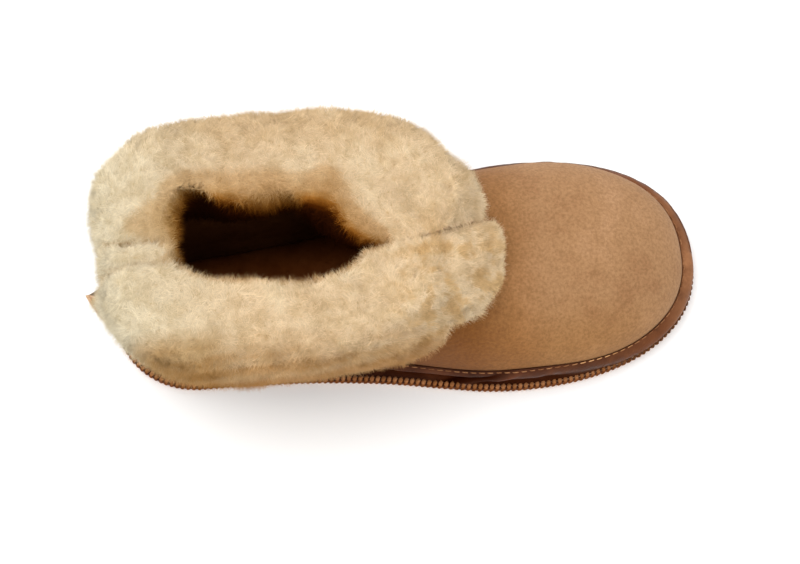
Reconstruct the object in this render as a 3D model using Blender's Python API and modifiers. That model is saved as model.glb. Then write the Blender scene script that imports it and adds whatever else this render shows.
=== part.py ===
"""Sheepskin house slipper: suede upper on a straight last, turned-down wool cuff, leather rand, suede sole.

Metres, +X towards the toe, +Y to the slipper's left, +Z up. The origin is on the floor, under the
middle of the sole's length. Every curved piece is worked out from the sole's outline and from the
last, so a change to the driving sizes below changes all of them together.
"""

import math

import bmesh
import bpy
from mathutils import Vector

MM = 0.001
NAME = "sheepskin_slipper"

# Driving sizes.
LENGTH = 285 * MM  # sole, heel end to toe end
BALL_WIDTH = 114.4 * MM  # sole, at the ball of the foot
SOLE_THICKNESS = 3.0 * MM
SKIN_THICKNESS = 2.5 * MM  # the upper's sheepskin without its wool
INSOLE_THICKNESS = 7.0 * MM
FEATHER_INSET = 7.4 * MM  # from the sole's edge in to the upper, at the heel
TOE_INSET = 5.8 * MM  # and at the toe's end
GAP = 0.3 * MM  # between neighbouring pieces
AROUND = 58  # points round the sole, the rand and the upper

# Sole outline: share of the length from the heel, share of the ball's half width.
SIDE_LINE = (
    (0.00, 0.640),
    (0.13, 0.650),
    (0.27, 0.690),
    (0.35, 0.729),
    (0.45, 0.802),
    (0.55, 0.907),
    (0.62, 0.974),
    (0.69, 1.000),
    (1.00, 1.000),
)
HEEL_ROUND = 0.133  # share of the length that the heel's half ellipse takes
# Feather line: share of the length, distance from the sole's side edge in to the upper.
FEATHER_LINE = (
    (0.00, FEATHER_INSET),
    (0.50, FEATHER_INSET),
    (0.66, 6.2 * MM),
    (0.80, 4.7 * MM),
    (1.00, 4.7 * MM),
)
TOE_START = 0.684  # share of the length where the toe's rounding starts
TOE_POWER = 2.3  # the toe is a superellipse, a little squarer than an ellipse

# Last from the side: share of the length, height of the ridge. Behind the throat the ridge climbs
# away as the leg does, so the walls of the quarters stand nearly upright.
RIDGE = (
    (0.000, 300 * MM),
    (0.200, 280 * MM),
    (0.330, 200 * MM),
    (0.400, 135 * MM),
    (0.460, 101 * MM),
    (0.525, 76 * MM),
    (0.575, 67 * MM),
    (0.625, 61 * MM),
    (0.700, 55.5 * MM),
    (0.780, 52 * MM),
    (1.000, 47 * MM),
)
TOE_DROP_START = 0.73  # share of the length where the ridge starts to fall to the toe
TOE_DROP_POWER = 2.05
WIDEST_HEIGHT = 12 * MM  # the last is widest up to here, and rounds inwards above it
ARCH_POWER = 2.2  # roundness of the last's cross sections

# Last from the side, at the back: height, distance in front of the sole's heel end.
HEEL_LINE = (
    (0 * MM, 7.4 * MM),
    (14 * MM, 7.2 * MM),
    (30 * MM, 6.4 * MM),
    (60 * MM, 8.0 * MM),
    (105 * MM, 12.0 * MM),
)
# Walls of the quarters: height, how much further out they stand than at the sole.
WALL_SPREAD = (
    (0 * MM, 0.0 * MM),
    (WIDEST_HEIGHT, 0.6 * MM),
    (40 * MM, 1.8 * MM),
    (105 * MM, 8.0 * MM),
)
# Rings of the upper from the sole to the topline: height at the heel, height at the front.
LEVELS = (
    (SOLE_THICKNESS + GAP, SOLE_THICKNESS + GAP),
    (7.5 * MM, 7.5 * MM),
    (12 * MM, 12 * MM),
    (17.5 * MM, 17.5 * MM),
    (24.5 * MM, 25 * MM),
    (32 * MM, 33 * MM),
    (40 * MM, 40 * MM),
    (48 * MM, 45.5 * MM),
    (56 * MM, 49.5 * MM),
    (64 * MM, 53 * MM),
    (73 * MM, 57 * MM),
    (82 * MM, 62 * MM),
    (91 * MM, 68 * MM),
    (100 * MM, 75 * MM),
)

# Section of the rand: height, share of the way out from the upper to the sole's edge.
RAND_SECTION = (
    (3.3 * MM, 0.00),
    (3.3 * MM, 1.00),
    (4.8 * MM, 1.00),
    (5.4 * MM, 0.78),
    (6.6 * MM, 0.70),
    (8.6 * MM, 0.79),
    (11.0 * MM, 0.82),
    (13.4 * MM, 0.72),
    (15.4 * MM, 0.50),
    (16.8 * MM, 0.23),
    (17.2 * MM, 0.00),
    (12.0 * MM, 0.00),
    (7.5 * MM, 0.00),
)
# How tall the rand stands over the sole: share of the way from heel to front, share of its section
# on the right and on the left.
RAND_TALL = (
    (0.00, 1.00, 1.00),
    (0.46, 0.97, 1.00),
    (0.50, 0.84, 0.99),
    (0.54, 0.82, 0.97),
    (0.58, 1.00, 0.95),
    (0.62, 1.16, 0.92),
    (0.66, 1.20, 0.89),
    (0.70, 1.06, 0.86),
    (0.74, 0.86, 0.83),
    (0.79, 0.70, 0.80),
    (0.87, 0.68, 0.77),
    (1.00, 0.74, 0.74),
)

# Cuff: share of the way from heel to front, depth of the flap on the right and on the left,
# thickness of its wool on the right and on the left.
FLAP = (
    (0.00, 30 * MM, 28 * MM, 10.5 * MM, 10.5 * MM),
    (0.08, 38 * MM, 40 * MM, 13 * MM, 14.5 * MM),
    (0.20, 65 * MM, 66 * MM, 16.5 * MM, 27 * MM),
    (0.36, 72 * MM, 71 * MM, 18 * MM, 33 * MM),
    (0.55, 67 * MM, 64 * MM, 17 * MM, 32.5 * MM),
    (0.72, 53 * MM, 47 * MM, 15 * MM, 28.5 * MM),
    (0.86, 45.5 * MM, 37 * MM, 15.5 * MM, 26.5 * MM),
    (1.00, 36 * MM, 28 * MM, 13 * MM, 19 * MM),
)
STAND_OFF = 4.0 * MM  # from the upper to the skin side of the flap
COVER_GAP = 1.0 * MM  # from the upper's inner face to the cuff's inside leg
INSIDE_DEPTH = 30 * MM  # wool inside the collar, below the topline
TOP_WOOL = 14 * MM  # wool standing above the folded topline
OPENING_HEEL = 35 * MM  # where the wool leaves the foot's opening: distance from the sole's heel end
OPENING_FRONT = 137 * MM
STRIP_TURN = 0.035  # half width of the back strip, as a share of the way from heel to front
SEAM_TURN = 0.004  # between the strip and each half of the cuff, likewise
END_TURN = 0.09  # the wool of each half falls away over this share at its ends
END_WOOL_BACK = 0.50  # share of the wool's thickness that is left at the back seam
END_WOOL_FRONT = 0.80  # and at the front slit
SLIT_SWING = 8 * MM  # how far the front slit swings to the left at the end of the flaps
SLIT_FROM = 8.5 * MM  # where along the slipper the swing sets in
SLIT_TO = 38 * MM
SLIT_REACH = 18 * MM  # how far to either side the wool follows it
STRIP_BULGE = 0.22  # further share of it in the middle of the back strip
CUFF_COLUMNS = 45
STRIP_COLUMNS = 4
LOCK_ROWS = 3  # rows of points down one lock of wool
LOCK_DEPTH = 1.8 * MM

# Foot's opening between the wool: share of the way from heel to front, reach from the middle to the
# right and to the left.
OPENING = (
    (0.000, 0 * MM, 0 * MM),
    (0.035, 5 * MM, 5.5 * MM),
    (0.070, 7.5 * MM, 14 * MM),
    (0.120, 9.5 * MM, 24.5 * MM),
    (0.205, 12.5 * MM, 31.5 * MM),
    (0.280, 14.5 * MM, 29 * MM),
    (0.340, 15.5 * MM, 22.5 * MM),
    (0.450, 17 * MM, 23 * MM),
    (0.545, 17.5 * MM, 25 * MM),
    (0.630, 15 * MM, 10 * MM),
    (0.700, 11.5 * MM, 4 * MM),
    (0.745, 8.5 * MM, 2.5 * MM),
    (0.785, 2.5 * MM, 1.5 * MM),
    (1.000, 0 * MM, 0 * MM),
)
# Lower edge of the right half, whose back corner curls away from the upper: share of the way from
# heel to front, lift of the edge, share of the wool's thickness that is missing along it, how much
# shorter the flap is in the notch behind its front corner.
EDGE = (
    (0.000, 12 * MM, 0.85, 0 * MM),
    (0.050, 10 * MM, 0.85, 0 * MM),
    (0.110, 4.5 * MM, 0.80, 0 * MM),
    (0.190, 0 * MM, 0.65, 0 * MM),
    (0.300, 0 * MM, 0.10, 0 * MM),
    (0.420, 0 * MM, 0.10, 0 * MM),
    (0.500, 0 * MM, 0.40, 0 * MM),
    (0.585, 0 * MM, 0.50, 2 * MM),
    (0.675, 0 * MM, 0.30, 9 * MM),
    (0.690, 0 * MM, 0.20, 8 * MM),
    (0.710, 0 * MM, 0.00, 0 * MM),
    (0.720, 0 * MM, 0.00, 0 * MM),
    (1.000, 0 * MM, 0.00, 0 * MM),
)
FLARE_POWER = 1.5  # how late down the flap the lift sets in
THIN_FROM = 0.30  # share of the flap's depth where the wool starts to thin towards the edge
THIN_FULL = 0.85

# Section of the cuff. Skin side of the flap: share of the flap's depth, share of the stand-off.
SKIN_SIDE = (
    (0.12, 0.55),
    (0.30, 1.00),
    (0.50, 1.00),
    (0.75, 1.00),
    (1.00, 1.00),
)
# Wool on the flap: share of the flap's depth, share of the wool's thickness.
WOOL_OUTSIDE = (
    (1.03, 0.16),
    (1.02, 0.38),
    (0.95, 0.57),
    (0.84, 0.71),
    (0.71, 0.84),
    (0.58, 0.93),
    (0.45, 0.98),
    (0.32, 1.00),
    (0.20, 1.00),
    (0.09, 0.97),
    (0.00, 0.92),
)
# Wool over the fold: share of the wool's thickness outwards, share of the wool's height.
WOOL_FOLD = (
    (0.76, 0.44),
    (0.52, 0.76),
    (0.24, 0.94),
    (0.00, 1.00),
)
# Wool inside the fold: share of the way to the opening, share of the wool's height.
WOOL_LIP = (
    (0.30, 0.99),
    (0.58, 0.90),
    (0.82, 0.66),
    (0.96, 0.26),
)
# Wool inside the collar: share of the inside depth, share of the way to the opening.
WOOL_INSIDE = (
    (0.20, 1.00),
    (0.45, 0.90),
    (0.75, 0.62),
    (1.00, 0.12),
)

# Heel loop: a thin leather thong bent to a hairpin, flat against the upper beside the back seam.
THONG_RADIUS = 1.1 * MM
THONG_TURN = -0.09
# Path: distance to the side, height, distance of the thong's middle from the upper.
THONG_PATH = (
    (-1.5 * MM, 18.6 * MM, 1.5 * MM),
    (-1.5 * MM, 26.0 * MM, 2.0 * MM),
    (-1.5 * MM, 34.0 * MM, 3.0 * MM),
    (-1.5 * MM, 42.0 * MM, 4.0 * MM),
    (-1.1 * MM, 44.4 * MM, 4.3 * MM),
    (0.0 * MM, 45.4 * MM, 4.4 * MM),
    (1.1 * MM, 44.4 * MM, 4.3 * MM),
    (1.5 * MM, 42.0 * MM, 4.0 * MM),
    (1.5 * MM, 34.0 * MM, 3.0 * MM),
    (1.5 * MM, 26.0 * MM, 2.0 * MM),
    (1.5 * MM, 18.6 * MM, 1.5 * MM),
)

# Materials: colour, roughness.
SOLE_SUEDE = ("sole_suede", (0.43, 0.12, 0.012), 0.92)
RAND_LEATHER = ("rand_leather", (0.19, 0.055, 0.02), 0.48)
UPPER_SUEDE = ("upper_suede", (0.48, 0.26, 0.13), 0.95)
CUFF_WOOL = ("cuff_wool", (0.78, 0.61, 0.36), 1.0)
LINING_WOOL = ("lining_wool", (0.42, 0.22, 0.08), 1.0)
THONG_LEATHER = ("thong_leather", (0.035, 0.014, 0.01), 0.55)


def smooth(rows, at, column=1):
    """Value of a table's column at a place in its first column, on a smooth curve through the rows."""
    if at <= rows[0][0]:
        return rows[0][column]
    if at >= rows[-1][0]:
        return rows[-1][column]
    i = max(n for n in range(len(rows) - 1) if rows[n][0] <= at)

    def slope(n):
        low = max(n - 1, 0)
        high = min(n + 1, len(rows) - 1)
        return (rows[high][column] - rows[low][column]) / (rows[high][0] - rows[low][0])

    span = rows[i + 1][0] - rows[i][0]
    t = (at - rows[i][0]) / span
    value = rows[i][column] * (2 * t**3 - 3 * t**2 + 1)
    value += rows[i + 1][column] * (3 * t**2 - 2 * t**3)
    value += span * slope(i) * (t**3 - 2 * t**2 + t)
    value += span * slope(i + 1) * (t**3 - t**2)
    return value


def rounding(along, power):
    """A rounded end: 1 where along is 0 or less, falling to 0 where along is 1."""
    along = min(max(along, 0.0), 1.0)
    return (1 - along**power) ** (1 / power)


def half_width(share, inset=0.0):
    """Half width of the sole's outline, moved inwards by inset, at a share of its length."""
    width = smooth(SIDE_LINE, share) * BALL_WIDTH / 2 - inset
    heel = rounding(1 - share / HEEL_ROUND, 2)
    toe = rounding((share - TOE_START) / (1 - TOE_START), TOE_POWER)
    return width * heel * toe


def turns():
    """Places round a ring: 0 at the heel, to 1 at the front on the right, and back on the left."""
    for n in range(AROUND):
        turn = 2 * n / AROUND
        yield turn if turn <= 1 else turn - 2


def outline_point(turn, height, inset=0.0):
    """Point on the sole's outline, moved inwards by inset."""
    share = (1 - math.cos(math.pi * turn)) / 2
    x = inset + share * (LENGTH - 2 * inset) - LENGTH / 2
    return Vector((x, -math.copysign(half_width(share, inset), turn), height))


def feather_point(turn, height, inset=0.0):
    """Point on the line where the upper meets the sole, moved inwards by inset."""
    share = (1 - math.cos(math.pi * turn)) / 2
    first = FEATHER_INSET + inset
    x = first + share * (LENGTH - first - TOE_INSET - inset) - LENGTH / 2
    width = half_width(share, smooth(FEATHER_LINE, share) + inset)
    return Vector((x, -math.copysign(width, turn), height))


def ridge_height(share):
    """Height of the last's ridge at a share of the length."""
    toe_end = 1 - TOE_INSET / LENGTH
    drop = rounding((share - TOE_DROP_START) / (toe_end - TOE_DROP_START), TOE_DROP_POWER)
    return WIDEST_HEIGHT + (smooth(RIDGE, share) - WIDEST_HEIGHT) * drop


def front_share(height):
    """Share of the length at which the ridge comes down to a height, in front of the throat."""
    low = 0.45
    high = 1 - TOE_INSET / LENGTH
    for _ in range(40):
        middle = (low + high) / 2
        if ridge_height(middle) > height:
            low = middle
        else:
            high = middle
    return (low + high) / 2


def last_half_width(x, height, heel_x):
    """Half width of the last at a distance x from the sole's heel end, behind which it starts at heel_x."""
    share = (x - heel_x) / (LENGTH - TOE_INSET - heel_x)
    width = half_width(share, smooth(FEATHER_LINE, share))
    if height <= WIDEST_HEIGHT:
        arch = 1.0
    else:
        rise = (height - WIDEST_HEIGHT) / max(ridge_height(x / LENGTH) - WIDEST_HEIGHT, GAP)
        arch = rounding(rise, ARCH_POWER)
    spread = smooth(WALL_SPREAD, height) * min(1.0, width / BALL_WIDTH * 4)
    return (width + spread) * arch


def level_heights(level):
    """Heights of the ring at a level from 0, the sole, to 1, the topline: at the heel, at the front."""
    place = level * (len(LEVELS) - 1)
    rows = tuple((n, heel, front) for n, (heel, front) in enumerate(LEVELS))
    return smooth(rows, place, 1), smooth(rows, place, 2)


def level_at(height):
    """Level of the ring that has a height at the heel."""
    rows = tuple((heel, n / (len(LEVELS) - 1)) for n, (heel, _) in enumerate(LEVELS))
    return smooth(rows, height)


def upper_point(turn, level):
    """Point on the upper's outer face."""
    heel_height, front_height = level_heights(level)
    heel_x = smooth(HEEL_LINE, heel_height)
    front_x = front_share(front_height) * LENGTH
    along = (1 - math.cos(math.pi * turn)) / 2
    x = heel_x + along * (front_x - heel_x)
    height = heel_height + along * (front_height - heel_height)
    y = 0.0 if abs(turn) in (0, 1) else last_half_width(x, height, heel_x)
    return Vector((x - LENGTH / 2, -math.copysign(y, turn), height))


def upper_frame(turn, level):
    """Outward normal and upward tangent of the upper's outer face."""
    step = 0.004
    near = turn
    if abs(turn) > 1 - step:
        near = math.copysign(1 - step, turn)
    across = upper_point(near + step, level) - upper_point(near - step, level)
    up = upper_point(near, min(level + step, 1.0)) - upper_point(near, max(level - step, 0.0))
    normal = across.cross(up)
    if near != turn:
        normal.y = 0.0
        up.y = 0.0
    return normal.normalized(), up.normalized()


def below_topline(turn, depth, offset):
    """Point a distance below the topline, measured down the upper, and an offset outside its face."""
    step = 0.02
    level = 1.0
    point = upper_point(turn, level)
    left = depth
    while left > 0 and level > step:
        lower = upper_point(turn, level - step)
        stretch = (point - lower).length
        if stretch >= left:
            level -= step * left / stretch
            break
        left -= stretch
        level -= step
        point = lower
    normal, _ = upper_frame(turn, level)
    return upper_point(turn, level) + normal * offset


def opening_point(turn, height):
    """Point on the edge of the foot's opening, between the wool of the two cuff halves."""
    along = (1 - math.cos(math.pi * turn)) / 2
    x = OPENING_HEEL + along * (OPENING_FRONT - OPENING_HEEL) - LENGTH / 2
    reach = smooth(OPENING, abs(turn), 1 if turn > 0 else 2)
    return Vector((x, -math.copysign(reach, turn), height))


def cuff_section(turn, depth, wool, height, flare=0.0, thinner=0.0):
    """Closed section of the cuff over the topline: skin side first, then the wool back to the start."""
    normal, up = upper_frame(turn, 1.0)
    rise = (up + Vector((0, 0, 1))).normalized()
    top = upper_point(turn, 1.0)
    inner = top - normal * (SKIN_THICKNESS + COVER_GAP)
    mouth = opening_point(turn, inner.z)

    def inside(share, way):
        wall = below_topline(turn, INSIDE_DEPTH * share, -SKIN_THICKNESS - COVER_GAP)
        return wall.lerp(Vector((mouth.x, mouth.y, wall.z)), way)

    def flap(share, offset):
        return below_topline(turn, depth * share, offset + flare * min(share, 1.0) ** FLARE_POWER)

    section = [inside(1.0, 0.0), inside(0.5, 0.0)]
    section.append(inner + up * GAP)
    section.append(top + normal * GAP + up * GAP)
    section += [flap(share, STAND_OFF * off) for share, off in SKIN_SIDE]
    skin_points = len(section)
    for share, out in WOOL_OUTSIDE:
        missing = thinner * min(max((share - THIN_FROM) / (THIN_FULL - THIN_FROM), 0.0), 1.0)
        section.append(flap(share, STAND_OFF + wool * out * (1 - missing)))
    for out, lift in WOOL_FOLD:
        section.append(top + normal * (STAND_OFF + wool) * out + rise * height * lift)
    for way, lift in WOOL_LIP:
        section.append(inner.lerp(mouth, way) + rise * height * lift)
    section += [inside(share, way) for share, way in WOOL_INSIDE]
    return section, skin_points


def end_fall(turn):
    """Share of the wool's thickness left near the ends of a cuff half."""
    back = rounding(1 - (turn - STRIP_TURN) / END_TURN, 2)
    front = rounding(1 - (1 - turn) / END_TURN, 2)
    return (END_WOOL_BACK + (1 - END_WOOL_BACK) * back) * (END_WOOL_FRONT + (1 - END_WOOL_FRONT) * front)


def lock_height(column, row):
    """How far a point of the wool stands out in its lock. Rows of locks overlap like tiles."""
    tier = row // LOCK_ROWS
    if (column + tier) % 2:
        return 0.0
    rise = (row % LOCK_ROWS + 1) / LOCK_ROWS
    return LOCK_DEPTH * rise * (1 + 0.3 * math.sin(12.9 * column + 4.1 * tier))


def add_locks(sections, skin_points):
    """Raise locks on the wool side of a cuff piece, leaving its ends and skin side as they are.
    The sections run towards the slipper's left, as seen from the heel."""
    raised = [list(section) for section in sections]
    count = len(sections[0])
    for column in range(2, len(sections) - 2):
        for place in range(skin_points + 1, count - 1):
            along = sections[column + 1][place] - sections[column - 1][place]
            down = sections[column][place - 1] - sections[column][place + 1]
            normal = down.cross(along).normalized()
            height = lock_height(column, count - place)
            raised[column][place] = sections[column][place] + normal * height
    return raised


def new_object(name, data, material):
    """Add an object with its own material to the slipper's collection."""
    slot = bpy.data.materials.new(material[0])
    slot.use_nodes = True
    shader = slot.node_tree.nodes["Principled BSDF"]
    shader.inputs["Base Color"].default_value = (*material[1], 1.0)
    shader.inputs["Roughness"].default_value = material[2]
    shader.inputs["Metallic"].default_value = 0.0
    slot.diffuse_color = (*material[1], 1.0)
    data.materials.append(slot)
    thing = bpy.data.objects.new(name, data)
    bpy.data.collections[NAME].objects.link(thing)
    return thing


def cap(mesh, row, skin_points):
    """Close the end of a cuff piece with triangles between its skin side and its wool."""
    skin = row[:skin_points]
    wool = row[: skin_points - 1 : -1]
    i = 0
    j = 0
    while i < len(skin) - 1 or j < len(wool) - 1:
        if i * (len(wool) - 1) < j * (len(skin) - 1):
            mesh.faces.new((skin[i], skin[i + 1], wool[j]))
            i += 1
        else:
            mesh.faces.new((skin[i], wool[j + 1], wool[j]))
            j += 1


def loft(name, loops, material, skin_points=0, sharp=50):
    """Skin closed loops of points in order. The last loop joins the first, or else both get a cap
    between their skin_points and the rest."""
    mesh = bmesh.new()
    rows = [[mesh.verts.new(point) for point in loop] for loop in loops]
    count = len(rows[0])
    pairs = list(zip(rows, rows[1:]))
    if not skin_points:
        pairs.append((rows[-1], rows[0]))
    for low, high in pairs:
        for n in range(count):
            after = (n + 1) % count
            mesh.faces.new((low[n], low[after], high[after], high[n]))
    if skin_points:
        cap(mesh, rows[0], skin_points)
        cap(mesh, rows[-1], skin_points)
    bmesh.ops.recalc_face_normals(mesh, faces=mesh.faces)
    bmesh.ops.triangulate(mesh, faces=mesh.faces)
    data = bpy.data.meshes.new(name)
    mesh.to_mesh(data)
    mesh.free()
    data.shade_smooth()
    data.set_sharp_from_angle(angle=math.radians(sharp))
    return new_object(name, data, material)


def slab(name, ring, thickness, bevel, segments, material):
    """A flat sheet with the outline of ring, thickness upwards, and rounded edges."""
    mesh = bmesh.new()
    mesh.faces.new([mesh.verts.new(point) for point in ring])
    bmesh.ops.recalc_face_normals(mesh, faces=mesh.faces)
    for face in mesh.faces:
        if face.normal.z > 0:
            face.normal_flip()
    data = bpy.data.meshes.new(name)
    mesh.to_mesh(data)
    mesh.free()
    sheet = new_object(name, data, material)
    solid = sheet.modifiers.new("thickness", "SOLIDIFY")
    solid.thickness = thickness
    solid.offset = -1.0
    edge = sheet.modifiers.new("edge", "BEVEL")
    edge.width = bevel
    edge.segments = segments
    edge.limit_method = "ANGLE"
    edge.angle_limit = math.radians(60)
    return sheet


def make_outsole():
    ring = [outline_point(turn, 0.0) for turn in turns()]
    slab("outsole", ring, SOLE_THICKNESS, 0.5 * MM, 1, SOLE_SUEDE)


def make_insole():
    ring = [feather_point(turn, SOLE_THICKNESS + GAP, SKIN_THICKNESS + GAP) for turn in turns()]
    slab("insole", ring, INSOLE_THICKNESS, 1.6 * MM, 2, LINING_WOOL)


def make_rand():
    loops = []
    foot = SOLE_THICKNESS + GAP
    for height, out in RAND_SECTION:
        loop = []
        for turn in turns():
            tall = smooth(RAND_TALL, abs(turn), 1 if turn > 0 else 2)
            level = level_at(foot + (height - foot) * tall)
            normal, _ = upper_frame(turn, level)
            inner = upper_point(turn, level) + normal * GAP
            loop.append(inner.lerp(outline_point(turn, inner.z), out))
        loops.append(loop)
    loft("rand", loops, RAND_LEATHER)


def make_upper():
    """One sheet of sheepskin over the last, open at the collar and underneath, with a real wall."""
    levels = [n / (len(LEVELS) - 1) for n in range(len(LEVELS))]
    outside = [[upper_point(turn, level) for turn in turns()] for level in levels]
    inside = []
    for level in reversed(levels):
        loop = []
        for turn in turns():
            normal, _ = upper_frame(turn, level)
            loop.append(upper_point(turn, level) - normal * SKIN_THICKNESS)
        inside.append(loop)
    for point in inside[-1]:
        point.z = SOLE_THICKNESS + GAP
    loft("upper", outside + inside, UPPER_SUEDE)


def slit_swing(point):
    """How far the front slit moves a point of the cuff to the left."""
    along = min(max((point.x - SLIT_FROM) / (SLIT_TO - SLIT_FROM), 0.0), 1.0)
    return SLIT_SWING * along**2 * (3 - 2 * along) * math.exp(-((point.y / SLIT_REACH) ** 2))


def make_cuff_half(name, side):
    """One half of the turned-down collar: side is 1 on the right, 2 on the left."""
    sign = 1 if side == 1 else -1
    sections = []
    for n in range(CUFF_COLUMNS):
        turn = STRIP_TURN + (1 - STRIP_TURN) * n / (CUFF_COLUMNS - 1)
        fall = end_fall(turn)
        depth = smooth(FLAP, turn, side)
        wool = smooth(FLAP, turn, side + 2) * fall
        flare = smooth(EDGE, turn, 1) if sign > 0 else 0.0
        thinner = smooth(EDGE, turn, 2) if sign > 0 else 0.0
        if sign > 0:
            depth -= smooth(EDGE, turn, 3)
        section, skin_points = cuff_section(sign * turn, depth, wool, TOP_WOOL * fall, flare, thinner)
        sections.append(section)
    sections = add_locks(sections[::sign], skin_points)[::sign]
    for section in sections:
        for point in section:
            point.y = -sign * max(-sign * point.y, GAP / 2)
            point.y += slit_swing(point)
    loft(name, sections, CUFF_WOOL, skin_points, sharp=35)


def make_back_strip():
    edge = STRIP_TURN - SEAM_TURN
    sections = []
    for n in range(STRIP_COLUMNS + 1):
        turn = edge * (2 * n / STRIP_COLUMNS - 1)
        fall = END_WOOL_BACK + STRIP_BULGE * rounding(abs(turn) / edge, 2)
        depth = smooth(FLAP, 0.0, 1)
        wool = smooth(FLAP, 0.0, 3) * fall
        section, skin_points = cuff_section(turn, depth, wool, TOP_WOOL * fall)
        sections.append(section)
    loft("back_strip", sections, CUFF_WOOL, skin_points, sharp=35)


def make_heel_loop():
    path = bpy.data.curves.new("heel_loop", "CURVE")
    path.dimensions = "3D"
    path.resolution_u = 3
    path.bevel_depth = THONG_RADIUS
    path.bevel_resolution = 1
    path.use_fill_caps = True
    spline = path.splines.new("POLY")
    spline.points.add(len(THONG_PATH) - 1)
    for point, (aside, height, off) in zip(spline.points, THONG_PATH):
        level = level_at(height)
        normal, up = upper_frame(THONG_TURN, level)
        place = upper_point(THONG_TURN, level) + normal * off + normal.cross(up) * aside
        point.co = (*place, 1.0)
    new_object("heel_loop", path, THONG_LEATHER)


def main():
    for thing in list(bpy.data.objects):
        bpy.data.objects.remove(thing)
    collection = bpy.data.collections.new(NAME)
    bpy.context.scene.collection.children.link(collection)
    make_outsole()
    make_insole()
    make_rand()
    make_upper()
    make_cuff_half("cuff_near", 1)
    make_cuff_half("cuff_far", 2)
    make_back_strip()
    make_heel_loop()


main()
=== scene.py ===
"""Sheepskin slipper: the looks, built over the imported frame. Metres, +X to the toe, +Z up."""

import math

import bmesh
import bpy
import numpy as np
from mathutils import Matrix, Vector


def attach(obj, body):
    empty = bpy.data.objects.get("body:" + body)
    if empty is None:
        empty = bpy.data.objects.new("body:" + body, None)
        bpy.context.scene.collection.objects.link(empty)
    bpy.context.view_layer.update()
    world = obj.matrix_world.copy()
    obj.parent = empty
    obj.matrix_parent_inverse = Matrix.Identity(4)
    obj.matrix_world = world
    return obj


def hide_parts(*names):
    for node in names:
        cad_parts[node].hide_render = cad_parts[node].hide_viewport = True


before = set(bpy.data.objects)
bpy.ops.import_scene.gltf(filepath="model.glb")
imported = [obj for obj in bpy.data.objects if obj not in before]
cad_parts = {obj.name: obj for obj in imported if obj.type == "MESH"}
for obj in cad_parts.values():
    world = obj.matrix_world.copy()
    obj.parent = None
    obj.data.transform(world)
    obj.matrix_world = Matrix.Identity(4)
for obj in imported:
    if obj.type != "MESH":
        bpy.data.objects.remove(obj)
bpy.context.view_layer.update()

MM = 0.001
SCENE = bpy.context.scene

# -------- sizes, the same as the part's
LENGTH = 285 * MM
BALL_WIDTH = 114.4 * MM
SKIN_THICKNESS = 2.5 * MM
FEATHER_INSET = 7.4 * MM
TOE_INSET = 5.8 * MM
GAP = 0.3 * MM
# Sole's outline: share of the length from the heel, share of the ball's half width.
SIDE_LINE = (
    (0.0, 0.64), (0.13, 0.65), (0.27, 0.69), (0.35, 0.729), (0.45, 0.802), (0.55, 0.907), (0.62, 0.974),
    (0.69, 1.0), (1.0, 1.0),
)
# Share of the length, distance from the sole's side edge in to the upper.
FEATHER_LINE = ((0.0, FEATHER_INSET), (0.5, FEATHER_INSET), (0.66, 0.0062), (0.8, 0.0047), (1.0, 0.0047))
HEEL_ROUND = 0.133
TOE_START = 0.684
TOE_POWER = 2.3
# Share of the length, height of the ridge.
RIDGE = (
    (0.0, 0.3), (0.2, 0.28), (0.33, 0.2), (0.4, 0.135), (0.46, 0.101), (0.525, 0.076), (0.575, 0.067),
    (0.625, 0.061), (0.7, 0.0555), (0.78, 0.052), (1.0, 0.047),
)
TOE_DROP_START = 0.73
TOE_DROP_POWER = 2.05
WIDEST_HEIGHT = 12 * MM
ARCH_POWER = 2.2
# Height, distance in front of the heel end; height, how much further out the walls stand.
HEEL_LINE = ((0.0, 0.0074), (0.014, 0.0072), (0.03, 0.0064), (0.06, 0.008), (0.105, 0.012))
WALL_SPREAD = ((0.0, 0.0), (WIDEST_HEIGHT, 0.0006), (0.04, 0.0018), (0.105, 0.008))
# Rings of the upper: height at the heel, height at the front.
LEVELS = (
    (0.0033, 0.0033), (0.0075, 0.0075), (0.012, 0.012), (0.0175, 0.0175), (0.0245, 0.025), (0.032, 0.033),
    (0.04, 0.04), (0.048, 0.0455), (0.056, 0.0495), (0.064, 0.053), (0.073, 0.057), (0.082, 0.062),
    (0.091, 0.068), (0.1, 0.075),
)
# Turn, depth of the flap on the right, on the left, thickness of its wool on the right, on the left.
FLAP = (
    (0.0, 0.03, 0.028, 0.0105, 0.0105), (0.08, 0.038, 0.04, 0.013, 0.0145),
    (0.2, 0.065, 0.066, 0.0165, 0.027), (0.36, 0.072, 0.071, 0.018, 0.033),
    (0.55, 0.067, 0.064, 0.017, 0.0325), (0.72, 0.053, 0.047, 0.015, 0.0285),
    (0.86, 0.0455, 0.037, 0.0155, 0.0265), (1.0, 0.036, 0.028, 0.013, 0.019),
)
# Right half's lower edge: turn, how far it flares, how much thinner its wool, how much shorter it is.
EDGE = (
    (0.0, 0.012, 0.85, 0), (0.05, 0.01, 0.85, 0), (0.11, 0.0045, 0.8, 0), (0.19, 0, 0.65, 0),
    (0.3, 0, 0.1, 0), (0.42, 0, 0.1, 0), (0.5, 0, 0.4, 0), (0.585, 0, 0.5, 0.002), (0.675, 0, 0.3, 0.009),
    (0.69, 0, 0.2, 0.008), (0.71, 0, 0, 0), (0.72, 0, 0, 0), (1.0, 0, 0, 0),
)
THIN_FROM, THIN_FULL = 0.30, 0.85
FLARE_POWER = 1.5
STAND_OFF = 4.0 * MM
COVER_GAP = 1.0 * MM
INSIDE_DEPTH = 30 * MM
TOP_WOOL = 14 * MM
OPENING_HEEL = 35 * MM
OPENING_FRONT = 137 * MM
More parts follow.
